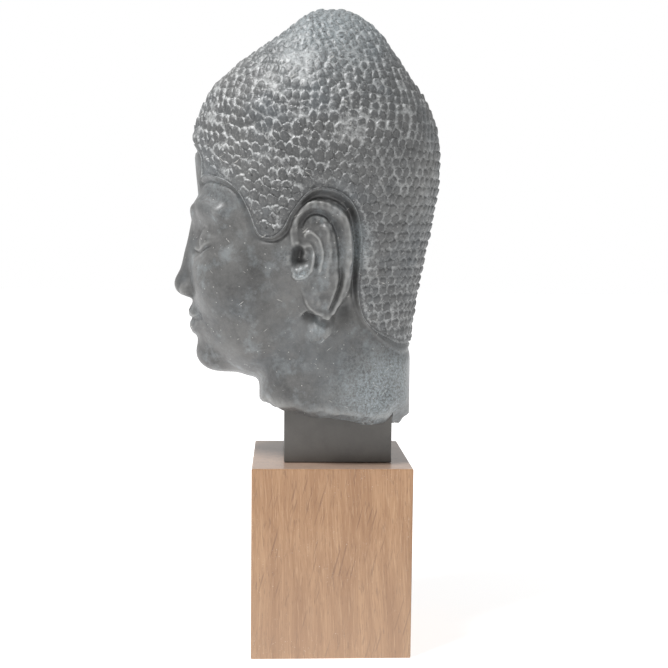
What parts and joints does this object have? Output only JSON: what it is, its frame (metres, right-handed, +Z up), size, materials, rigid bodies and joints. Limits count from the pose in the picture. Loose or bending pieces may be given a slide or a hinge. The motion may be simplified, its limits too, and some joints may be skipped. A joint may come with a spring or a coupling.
{
  "type": "stone buddha head",
  "caption": "Carved head with rows of small hair curls and long broken ear lobes, held by a square post on a solid oak plinth.",
  "frame": {"origin": "centre of the plinth's underside", "axes": "+Z up, the face looks along -Y, the figure's left side is +X"},
  "size_m": [0.1354, 0.1717, 0.4094],
  "materials": {
    "grey_stone": "satin grey cast stone, paler in the grooves",
    "dark_post": "satin dark grey paint on wood",
    "oak": "satin varnished oak"
  },
  "bodies": {
    "root": {"head": "grey_stone", "post": "dark_post", "plinth": "oak"}
  },
  "joints": []
}
